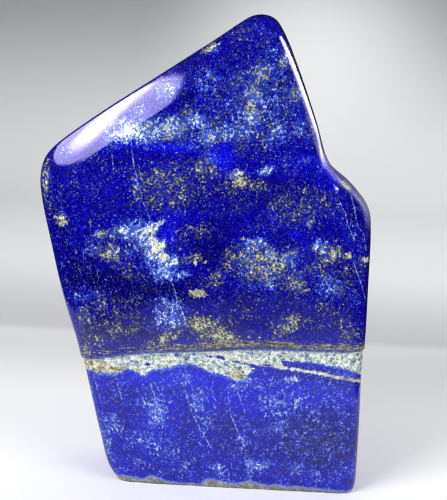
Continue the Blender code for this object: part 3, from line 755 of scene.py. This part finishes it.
# ---------------------------------------------------------------- the material
class Net:
    """A short way to write node networks."""

    def __init__(self, tree):
        self.tree, self.nodes, self.links = tree, tree.nodes, tree.links

    def put(self, socket, value):
        if isinstance(value, bpy.types.NodeSocket):
            self.links.new(value, socket)
        else:
            socket.default_value = value

    def math(self, op, a, b=0.0, c=0.0, clamp=False):
        node = self.nodes.new("ShaderNodeMath")
        node.operation = op
        node.use_clamp = clamp
        for k, value in enumerate((a, b, c)):
            self.put(node.inputs[k], value)
        return node.outputs[0]

    def add(self, a, b):
        return self.math("ADD", a, b)

    def sub(self, a, b):
        return self.math("SUBTRACT", a, b)

    def mul(self, a, b):
        return self.math("MULTIPLY", a, b)

    def madd(self, a, b, c):
        return self.math("MULTIPLY_ADD", a, b, c)

    def step(self, low, high, x):
        node = self.nodes.new("ShaderNodeMapRange")
        node.interpolation_type = "SMOOTHSTEP"
        self.put(node.inputs["Value"], x)
        self.put(node.inputs["From Min"], low)
        self.put(node.inputs["From Max"], high)
        return node.outputs["Result"]

    def attribute(self, name):
        node = self.nodes.new("ShaderNodeAttribute")
        node.attribute_name = name
        return node.outputs["Fac"]

    def noise(self, place, scale, detail=0.0, rough=0.5, warp=0.0, shift=0.0):
        if shift:
            node = self.nodes.new("ShaderNodeVectorMath")
            node.operation = "ADD"
            self.links.new(place, node.inputs[0])
            node.inputs[1].default_value = (shift, shift * 0.7, -shift * 1.3)
            place = node.outputs[0]
        node = self.nodes.new("ShaderNodeTexNoise")
        self.links.new(place, node.inputs["Vector"])
        node.inputs["Scale"].default_value = scale
        node.inputs["Detail"].default_value = detail
        node.inputs["Roughness"].default_value = rough
        node.inputs["Distortion"].default_value = warp
        return node.outputs["Fac"]

    def mix(self, share, a, b):
        node = self.nodes.new("ShaderNodeMix")
        node.data_type = "RGBA"
        node.clamp_factor = True
        self.put(node.inputs["Factor"], share)
        self.put(node.inputs[6], a)
        self.put(node.inputs[7], b)
        return node.outputs[2]

    def blend(self, share, a, b):
        node = self.nodes.new("ShaderNodeMix")
        node.data_type = "FLOAT"
        node.clamp_factor = True
        self.put(node.inputs["Factor"], share)
        self.put(node.inputs[2], a)
        self.put(node.inputs[3], b)
        return node.outputs[0]

    def ramp(self, x, stops):
        node = self.nodes.new("ShaderNodeValToRGB")
        ramp = node.color_ramp
        ramp.interpolation = "LINEAR"
        for k, (at, colour) in enumerate(stops):
            if k < 2:
                stop = ramp.elements[k]
                stop.position = at
            else:
                stop = ramp.elements.new(at)
            stop.color = (*colour, 1.0)
        self.put(node.inputs["Fac"], x)
        return node.outputs["Color"]


def lapis_material():
    material = bpy.data.materials.new("polished_lapis")
    material.use_nodes = True
    net = Net(material.node_tree)
    shader = net.nodes["Principled BSDF"]
    coords = net.nodes.new("ShaderNodeTexCoord")
    scale = net.nodes.new("ShaderNodeVectorMath")
    scale.operation = "SCALE"
    net.links.new(coords.outputs["Object"], scale.inputs[0])
    scale.inputs["Scale"].default_value = 1000.0
    askew = net.nodes.new("ShaderNodeVectorRotate")
    askew.rotation_type = "EULER_XYZ"
    net.links.new(scale.outputs[0], askew.inputs["Vector"])
    askew.inputs["Rotation"].default_value = (0.62, 0.41, 0.93)
    mm = askew.outputs[0]
    layers = net.nodes.new("ShaderNodeVectorMath")
    layers.operation = "MULTIPLY"
    net.links.new(scale.outputs[0], layers.inputs[0])
    layers.inputs[1].default_value = (0.22, 0.22, 1.5)
    layers = layers.outputs[0]

    tone, calcite, pyrite = (net.attribute(k) for k in ("tone", "calcite", "pyrite"))
    cream, band, seam = (net.attribute(k) for k in ("cream", "band", "seam"))
    tan, strip, edge = (net.attribute(k) for k in ("tan", "strip", "edge"))
    sawn, rim, above = (net.attribute(k) for k in ("sawn", "rim", "above"))
    chip, side, reach = (net.attribute(k) for k in ("chip", "vein_side", "vein_reach"))

    grain_a = net.noise(mm, 0.85, 2.0, 0.70)                      # calcite grains
    grain_b = net.noise(mm, 0.95, 2.0, 0.60, shift=37.0)          # pyrite grains
    grain_c = net.noise(mm, 0.85, 2.0, 0.70, shift=71.0)          # the blue's own grain
    glint = net.noise(mm, 0.70, 2.0, 0.60, shift=131.0)           # how bright a grain is
    mist = net.noise(mm, 0.62, 2.0, 0.60, shift=171.0)            # dust within the blue
    patch_a = net.noise(mm, 0.17, 3.0, 0.6, 0.4, shift=11.0)
    patch_b = net.noise(mm, 0.14, 3.0, 0.6, 0.4, shift=53.0)
    patch_c = net.noise(mm, 0.30, 2.0, 0.5, shift=91.0)
    cells = net.noise(mm, 0.36, 1.0, 0.5, 0.6, shift=151.0)       # round blue crystals

    def centred(x, k):
        return net.mul(net.sub(x, 0.5), k)
    between = net.madd(net.math("ABSOLUTE", net.sub(cells, 0.5)), -6.0, 0.42)

    # blue ground
    t = net.add(tone, net.add(centred(grain_c, 1.7), centred(patch_c, 0.5)))
    blue = net.ramp(t, [(0.0, (0.0014, 0.0002, 0.055)), (0.5, (0.0024, 0.0003, 0.265)),
                        (1.0, (0.0030, 0.0030, 0.800)), (0.25, (0.0018, 0.0003, 0.135))])

    # a soft veil of mixed dust where the grains gather
    v = net.add(net.madd(calcite, 0.60, net.madd(pyrite, 0.75, -0.20)), centred(mist, 2.2))
    veil = net.ramp(calcite, [(0.05, (0.042, 0.052, 0.110)), (0.70, (0.080, 0.220, 0.740))])
    colour = net.mix(net.mul(net.step(0.0, 0.50, v), net.madd(net.step(0.35, 0.80, calcite), 0.34, 0.22)), blue, veil)

    # calcite: light blue where thin, white where thick, in the gaps between blue crystals
    clump = net.noise(mm, 0.33, 2.0, 0.6, 0.5, shift=211.0)       # clusters of grains
    gather = net.mul(centred(clump, 1.8), net.step(0.05, 0.40, calcite))
    c = net.add(net.add(net.madd(calcite, 1.25, -0.45),
                        net.add(centred(grain_a, 3.4), centred(patch_a, 1.0))),
                net.madd(between, net.mul(net.step(0.15, 0.45, calcite), 0.80), gather))
    face = net.step(0.5, -0.5, above)                             # 1 below the ledge
    pale = net.ramp(net.mul(net.add(c, centred(glint, 0.8)), net.blend(face, 0.78, 0.67)),
                    [(0.0, (0.004, 0.0012, 0.42)), (0.90, (0.780, 0.840, 0.780)),
                     (0.22, (0.024, 0.056, 0.60)), (0.45, (0.135, 0.230, 0.66)),
                     (0.68, (0.420, 0.520, 0.69)), (1.0, (0.900, 0.920, 0.820))])
    colour = net.mix(net.step(0.0, 0.22, c), colour, pale)

    # pyrite dust and grains: mostly dim olive, a few of them bright
    g = net.add(net.add(net.madd(pyrite, 0.95, -0.44),
                        net.add(centred(grain_b, 3.0), centred(patch_b, 1.0))),
                net.madd(between, net.mul(net.step(0.15, 0.40, calcite), 0.85), net.mul(
                    centred(clump, -1.6), net.step(0.08, 0.45, pyrite))))
    shine = net.add(net.madd(g, 0.62, 0.20), net.madd(pyrite, 0.20, centred(glint, 2.2)))
    drab = net.ramp(shine, [(0.0, (0.014, 0.017, 0.040)), (0.30, (0.048, 0.058, 0.058)),
                            (0.55, (0.110, 0.124, 0.085)), (0.80, (0.270, 0.280, 0.180)),
                            (1.0, (0.600, 0.580, 0.390))])
    colour = net.mix(net.mul(net.step(0.0, 0.40, g), 0.90), colour, drab)

    # cream lumps with broken edges
    inside = net.add(net.madd(cream, 0.85, -0.2), net.add(
        centred(net.noise(mm, 0.75, 3.0, 0.65, shift=17.0), 7.0),
        centred(net.noise(mm, 0.30, 1.0, 0.5, 0.6, shift=19.0), 5.0)))
    lump = net.ramp(net.add(net.add(centred(grain_b, 2.4), centred(glint, 2.0)),
                            net.madd(calcite, 0.45, 0.50)),
                    [(0.0, (0.070, 0.075, 0.050)), (0.35, (0.240, 0.245, 0.150)),
                     (0.70, (0.540, 0.540, 0.370)), (1.0, (0.860, 0.870, 0.740))])
    colour = net.mix(net.mul(net.step(0.0, 1.1, inside), 0.94), colour, lump)

    # veins
    wander = centred(net.noise(mm, 0.6, 2.0, 0.6, shift=5.0), 2.6)
    across = net.math("ABSOLUTE", net.add(side, wander))
    thin = net.mul(net.step(1.00, 0.20, across), net.step(3.2, 1.8, reach))
    broken = net.step(0.43, 0.64, net.noise(mm, 0.50, 3.0, 0.65, shift=29.0))
    thread = net.ramp(grain_a, [(0.38, (0.08, 0.20, 0.78)), (0.60, (0.66, 0.75, 0.84))])
    colour = net.mix(net.mul(thin, net.madd(broken, 0.70, 0.08)), colour, thread)

    # the streaky strip over the ledge, and under it the dark line on the rolled lip: painted shade
    streak = net.noise(layers, 0.9, 3.0, 0.6, shift=7.0)
    s = net.add(strip, net.mul(net.step(0.02, 0.30, strip), net.add(
        centred(grain_b, 1.4), centred(streak, 3.0))))
    earth = net.ramp(net.add(centred(glint, 3.0), net.madd(streak, 2.4, -0.75)),
                     [(0.0, (0.045, 0.044, 0.050)), (0.5, (0.140, 0.134, 0.088)),
                      (1.0, (0.370, 0.350, 0.220))])
    colour = net.mix(net.mul(net.step(0.42, 0.85, s), 0.9), colour, earth)
    # painted shade: a dark purple-grey line along the lip where the upper face rolls under
    lip = net.mul(net.step(-0.95, -0.45, above), net.step(1.35, 0.75, above))
    colour = net.mix(net.mul(lip, 0.88), colour, net.mix(
        net.step(0.40, 0.62, streak), (0.030, 0.024, 0.110, 1.0), (0.075, 0.070, 0.170, 1.0)))

    # the pale band
    wob = net.add(centred(net.noise(mm, 0.55, 3.0, 0.65, shift=43.0), 5.0),
                  centred(net.noise(mm, 1.6, 1.0, 0.5, shift=63.0), 1.4))
    b = net.add(band, net.mul(wob, 0.62))
    fringe = net.step(-1.9, -0.1, net.add(band, net.mul(wob, 0.8)))
    halo = net.ramp(grain_a, [(0.35, (0.010, 0.030, 0.60)), (0.65, (0.22, 0.38, 0.84))])
    colour = net.mix(net.mul(fringe, net.mul(
        net.madd(net.step(0.0, 0.5, tan), -0.15, 0.68), net.madd(net.step(-8.0, -5.0, seam), -0.85, 1.0))), colour, halo)
    cloudy = net.add(net.add(centred(net.noise(mm, 0.42, 3.0, 0.65, shift=47.0), 3.0),
                             centred(grain_a, 2.2)), net.madd(streak, 1.6, -0.22))
    stonewhite = net.ramp(cloudy, [(0.0, (0.080, 0.130, 0.260)), (0.22, (0.230, 0.335, 0.410)),
                                   (0.48, (0.390, 0.490, 0.465)), (0.75, (0.560, 0.640, 0.555)),
                                   (1.0, (0.880, 0.910, 0.840))])
    sandy = net.ramp(cloudy, [(0.0, (0.090, 0.088, 0.072)), (0.30, (0.260, 0.240, 0.155)),
                              (0.65, (0.470, 0.440, 0.310)), (1.0, (0.740, 0.730, 0.590))])
    body = net.mix(net.step(0.30, 0.75, net.add(tan, centred(patch_c, 1.2))), stonewhite, sandy)
    fleck = net.step(0.65, 0.72, net.noise(mm, 0.95, 1.0, 0.5, shift=97.0))
    body = net.mix(net.mul(fleck, 0.85), body, (0.035, 0.034, 0.055, 1.0))
    body = net.mix(net.mul(net.step(-0.4, 0.5, net.add(seam, net.mul(wob, 0.3))), 0.9), body,
                   net.mix(net.step(0.35, 0.7, tan), net.ramp(
                       net.add(centred(grain_b, 2.5), 0.6),
                       [(0.0, (0.300, 0.330, 0.260)), (1.0, (0.900, 0.910, 0.770))]), sandy))
    body = net.mix(net.step(-0.5, 0.5, net.add(chip, net.mul(wob, 1.1))), body,
                   net.mix(0.5, blue, (0.006, 0.008, 0.420, 1.0)))
    in_band = net.step(-0.25, 0.30, b)
    colour = net.mix(in_band, colour, body)

    # painted shade: the edges darkened toward a drab olive where they turn away from the view; the side walls are
    # darkened the same way
    colour = net.mix(net.step(0.35, 0.80, net.add(edge, centred(grain_b, 1.4))),
                     colour, net.mix(0.60, colour, (0.050, 0.052, 0.036, 1.0)))

    # painted shade: the near-black line along the upper edges, dark blue with dark olive grains
    colour = net.mix(net.mul(net.attribute("outline_shade"), net.madd(in_band, -0.6, 0.92)), colour,
                     net.mix(net.step(0.50, 0.62, grain_b), (0.0030, 0.0030, 0.022, 1.0),
                             (0.030, 0.030, 0.024, 1.0)))

    # rough foot and sawn base
    r = net.add(rim, net.mul(wob, 0.55))
    raw = net.ramp(net.add(centred(grain_b, 2.6), centred(patch_c, 1.6)),
                   [(0.0, (0.170, 0.175, 0.140)), (0.5, (0.420, 0.440, 0.390)),
                    (1.0, (0.640, 0.680, 0.620))])
    at_rim = net.step(-0.2, 0.5, r)
    pale_edge = net.step(-1.4, -0.1, r)
    colour = net.mix(net.mul(pale_edge, 0.55), colour, (0.30, 0.42, 0.72, 1.0))
    colour = net.mix(at_rim, colour, raw)
    saw = net.mix(net.step(0.45, 0.6, patch_a), (0.055, 0.060, 0.210, 1.0),
                  (0.150, 0.160, 0.230, 1.0))
    colour = net.mix(sawn, colour, saw)
    net.links.new(colour, shader.inputs["Base Color"])

    # roughness: a high polish on the blue, a little less on pyrite and the band
    rough = net.blend(net.step(0.0, 0.35, g), 0.075, 0.20)
    rough = net.blend(net.step(0.5, 1.0, c), rough, 0.13)
    rough = net.blend(in_band, rough, 0.26)
    rough = net.blend(net.step(0.42, 0.85, s), rough, 0.24)
    rough = net.blend(net.attribute("outline_shade"), rough, 0.16)
    rough = net.blend(net.attribute("dull"), rough, 0.56)
    rough = net.blend(at_rim, rough, 0.72)
    rough = net.blend(sawn, rough, 0.62)
    net.links.new(rough, shader.inputs["Roughness"])
    shader.inputs["IOR"].default_value = 1.5
    shader.inputs["Metallic"].default_value = 0.0

    # relief: pits at the pyrite, tiny scratches, a coarse foot
    pits = net.mul(net.step(0.0, 0.3, g), -0.35)
    saws = net.mul(net.noise(mm, 2.6, 2.0, 0.6, shift=3.0), net.madd(at_rim, 3.0, 0.18))
    waves = net.mul(net.noise(mm, 0.07, 1.0, 0.4, shift=23.0), 1.6)
    bump = net.nodes.new("ShaderNodeBump")
    bump.inputs["Strength"].default_value = 0.55
    bump.inputs["Distance"].default_value = 0.00004
    net.links.new(net.add(pits, net.add(saws, waves)), bump.inputs["Height"])
    net.links.new(bump.outputs["Normal"], shader.inputs["Normal"])
    return material


# ---------------------------------------------------------------- camera, floor and light
def camera():
    data = bpy.data.cameras.new("camera")
    data.sensor_fit = "AUTO"
    data.sensor_width = 36.0
    data.lens = 36.0 * FOCAL / FRAME_H
    data.clip_start, data.clip_end = 0.01, 50.0
    cam = bpy.data.objects.new("camera", data)
    bpy.context.scene.collection.objects.link(cam)
    turn = Matrix((RIGHT, UP, -FWD)).transposed()
    place = Vector(((EYE[0] - MIDDLE[0]) * 0.001, (EYE[1] - MIDDLE[1]) * 0.001, EYE[2] * 0.001))
    cam.matrix_world = Matrix.Translation(place) @ turn.to_4x4()
    bpy.context.scene.camera = cam


def plain(name, colour, rough):
    material = bpy.data.materials.new(name)
    material.use_nodes = True
    shader = material.node_tree.nodes["Principled BSDF"]
    shader.inputs["Base Color"].default_value = (*colour, 1.0)
    shader.inputs["Roughness"].default_value = rough
    shader.inputs["Specular IOR Level"].default_value = 0.2
    return material


def sweep():
    """A white floor that curves up into a pale backdrop, with painted light on both: the floor greys behind the
    stone, and the backdrop darkens towards its top round a painted pool of light behind the stone.
    The polished stone mirrors only the lit sheet in front of it, made by mirrored_sheet."""
    path = [(-2.4, 0.0), (-1.0, 0.0), (0.0, 0.0), (0.24, 0.0), (0.30, 0.0), (1.05, 0.0)]
    for k in range(1, 13):
        a = math.radians(90 * k / 12)
        path.append((1.05 + 0.45 * math.sin(a), 0.45 - 0.45 * math.cos(a)))
    path += [(1.5, 1.0), (1.5, 2.6)]
    verts, faces = [], []
    for y, z in path:
        verts += [(-3.0, y, z), (3.0, y, z)]
    for k in range(len(path) - 1):
        faces.append((2 * k, 2 * k + 1, 2 * k + 3, 2 * k + 2))
    mesh = bpy.data.meshes.new("studio_sweep")
    mesh.from_pydata(verts, [], faces)
    mesh.shade_smooth()
    floor = bpy.data.objects.new("studio_sweep", mesh)
    bpy.context.scene.collection.objects.link(floor)
    paper = plain("sweep_paper", (0.80, 0.80, 0.81), 0.8)
    net = Net(paper.node_tree)
    split = net.nodes.new("ShaderNodeSeparateXYZ")
    net.links.new(net.nodes.new("ShaderNodeTexCoord").outputs["Object"], split.inputs[0])
    x, y, z = split.outputs
    # painted light and shade on the backdrop: grey just past the floor, lighter further back, darker towards the top
    near = net.mix(net.step(0.27, 0.60, y), (0.58, 0.59, 0.60, 1.0), (0.86, 0.875, 0.88, 1.0))
    behind = net.mix(net.step(0.02, 0.40, z), near, (0.34, 0.355, 0.365, 1.0))
    across, up = net.sub(x, 0.11), net.sub(z, 0.21)
    away = net.math("SQRT", net.add(net.mul(across, across), net.mul(up, up)))
    # a painted pool of light on the backdrop behind the stone
    glow = net.mul(net.step(0.36, 0.02, away), net.step(0.0, 0.12, z))
    behind = net.mix(glow, behind, (0.93, 0.935, 0.94, 1.0))
    # painted falloff of the light: the floor greys further behind the stone
    level = net.mix(net.step(0.09, 0.23, y), (0.985, 0.985, 0.99, 1.0), (0.72, 0.725, 0.73, 1.0))
    shade = net.mix(net.step(0.262, 0.285, y), level, behind)
    net.links.new(shade, net.nodes["Principled BSDF"].inputs["Base Color"])
    mesh.materials.append(paper)
    floor.visible_glossy = False


def mirrored_sheet():
    """The sheet of white paper that the polished front mirrors, just over the floor."""
    corners = [(-0.285, 0.30), (0.26, 0.30), (0.26, -0.70), (0.12, -0.96), (-0.02, -1.08),
               (-0.11, -0.96), (-0.125, -0.62), (-0.285, -0.60)]
    mesh = bpy.data.meshes.new("studio_sheet")
    mesh.from_pydata([(x, y, 0.0004) for x, y in corners], [], [tuple(range(len(corners)))[::-1]])
    sheet = bpy.data.objects.new("studio_sheet", mesh)
    bpy.context.scene.collection.objects.link(sheet)
    paper = plain("sheet_paper", (0.80, 0.80, 0.80), 0.9)
    net = Net(paper.node_tree)
    split = net.nodes.new("ShaderNodeSeparateXYZ")
    net.links.new(net.nodes.new("ShaderNodeTexCoord").outputs["Object"], split.inputs[0])
    # painted falloff of the light: the sheet darkens the further it lies in front of the stone
    net.links.new(net.mix(net.step(-0.60, -0.29, split.outputs[1]), (0.27, 0.27, 0.27, 1.0),
                          (0.84, 0.84, 0.84, 1.0)), net.nodes["Principled BSDF"].inputs["Base Color"])
    mesh.materials.append(paper)
    sheet.visible_camera = sheet.visible_diffuse = sheet.visible_shadow = False


def softbox(name, centre, aim, across, size, radiance, core=None, mirrored=True,
            lights=True, shift=(0.0, 0.0), tint=(1.0, 1.0, 1.0), cut=None):
    """A rectangular light of the given radiance. core adds a brighter middle. mirrored is
    whether polish shows it, lights whether it lights matt surfaces. shift slides it in its
    own plane, cut trims its corners to the panel's shape."""
    data = bpy.data.lights.new(name, "AREA")
    data.shape = "RECTANGLE"
    data.size, data.size_y = size
    data.energy = math.pi * radiance * size[0] * size[1]
    data.color = tint
    if core:
        data.use_nodes = True
        net = Net(data.node_tree)
        emit = next(n for n in net.nodes if n.type == "EMISSION")
        place = net.nodes.new("ShaderNodeNewGeometry").outputs["Parametric"]
        split = net.nodes.new("ShaderNodeSeparateXYZ")
        net.links.new(place, split.inputs[0])
        cu, cv, ru, rv, extra = core
        a = net.mul(net.sub(split.outputs[0], cu), 1.0 / ru)
        b = net.mul(net.sub(split.outputs[1], cv), 1.0 / rv)
        r = net.math("SQRT", net.add(net.mul(a, a), net.mul(b, b)))
        strength = net.madd(net.step(1.0, 0.2, r), extra, 1.0)
        if cut:
            def beyond(a, b, limit, soft):
                line = net.add(net.mul(split.outputs[0], a), net.mul(split.outputs[1], b))
                return net.step(limit - soft, limit + soft, line)
            top, low, low_right = (beyond(*line) for line in cut)
            kept = net.mul(net.sub(1.0, top), net.math("MAXIMUM", low, low_right))
            strength = net.mul(strength, kept)
        net.links.new(strength, emit.inputs["Strength"])
    lamp = bpy.data.objects.new(name, data)
    bpy.context.scene.collection.objects.link(lamp)
    back = (Vector(centre) - Vector(aim)).normalized()
    x = Vector(across)
    x = (x - back * x.dot(back)).normalized()
    y = back.cross(x)
    turn = Matrix((x, y, back)).transposed()
    place = Vector(centre) + x * shift[0] + y * shift[1]
    lamp.matrix_world = Matrix.Translation(place) @ turn.to_4x4()
    lamp.visible_camera = False
    lamp.visible_glossy, lamp.visible_diffuse = mirrored, lights
    return lamp


def surroundings():
    """A soft even light from all round that the polish doesn't mirror."""
    world = bpy.data.worlds.new("studio")
    bpy.context.scene.world = world
    world.use_nodes = True
    back = world.node_tree.nodes["Background"]
    back.inputs["Color"].default_value = (0.36, 0.365, 0.37, 1.0)
    back.inputs["Strength"].default_value = 1.0
    world.cycles_visibility.glossy = False


# ---------------------------------------------------------------- put it together
camera()
mesh, points, rim = build_mesh()
paint(mesh, points, rim)
stone = bpy.data.objects.new("lapis_stone", mesh)
bpy.context.scene.collection.objects.link(stone)
mesh.materials.append(lapis_material())
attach(stone, "root")
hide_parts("stone")

sweep()
mirrored_sheet()
surroundings()
softbox("key_mirrored", (-0.578, -0.372, 0.678), (-0.045, -0.025, 0.18),
        (0.729, -0.163, 0.665), (0.487, 1.610), 7.2, core=(0.580, 0.690, 0.250, 0.330, 4.8),
        lights=False, shift=(-0.070, 0.134), tint=(1.0, 0.89, 1.36),
        cut=((1.4, 1.237, 2.07, 0.04), (0.512, 1.6, 0.740, 0.04), (3.07, 1.6, 2.077, 0.05)))
softbox("key", (-0.56, -0.62, 0.80), (0.0, 0.0, 0.12), (0.8, -0.6, 0.0), (0.5, 0.5), 10.5,
        mirrored=False)
softbox("edge_strip", (0.612, 0.038, 0.46), (0.045, -0.02, 0.19), (0.423, -0.433, -0.796),
        (0.32, 0.98), 2.5, core=(0.16, 0.40, 0.55, 0.60, 11.0), lights=False,
        shift=(0.055, 0.0), tint=(1.0, 0.92, 1.25),
        cut=((1.0, 0.3, 1.06, 0.03), (1.0, 1.0, -9.0, 0.1), (1.0, 1.0, -9.0, 0.1)))
softbox("fill", (0.61, -0.54, 0.80), (0.0, 0.0, 0.12), (0.7, 0.7, 0.0), (0.6, 0.6), 2.9,
        mirrored=False)
softbox("backdrop_light", (0.45, 0.70, 1.00), (0.45, 0.85, 0.0), (1.0, 0.0, 0.0),
        (1.8, 0.3), 3.6, mirrored=False)

scene = bpy.context.scene
scene.view_settings.view_transform = "Standard"
scene.view_settings.look = "None"
scene.cycles.filter_width = 1.25
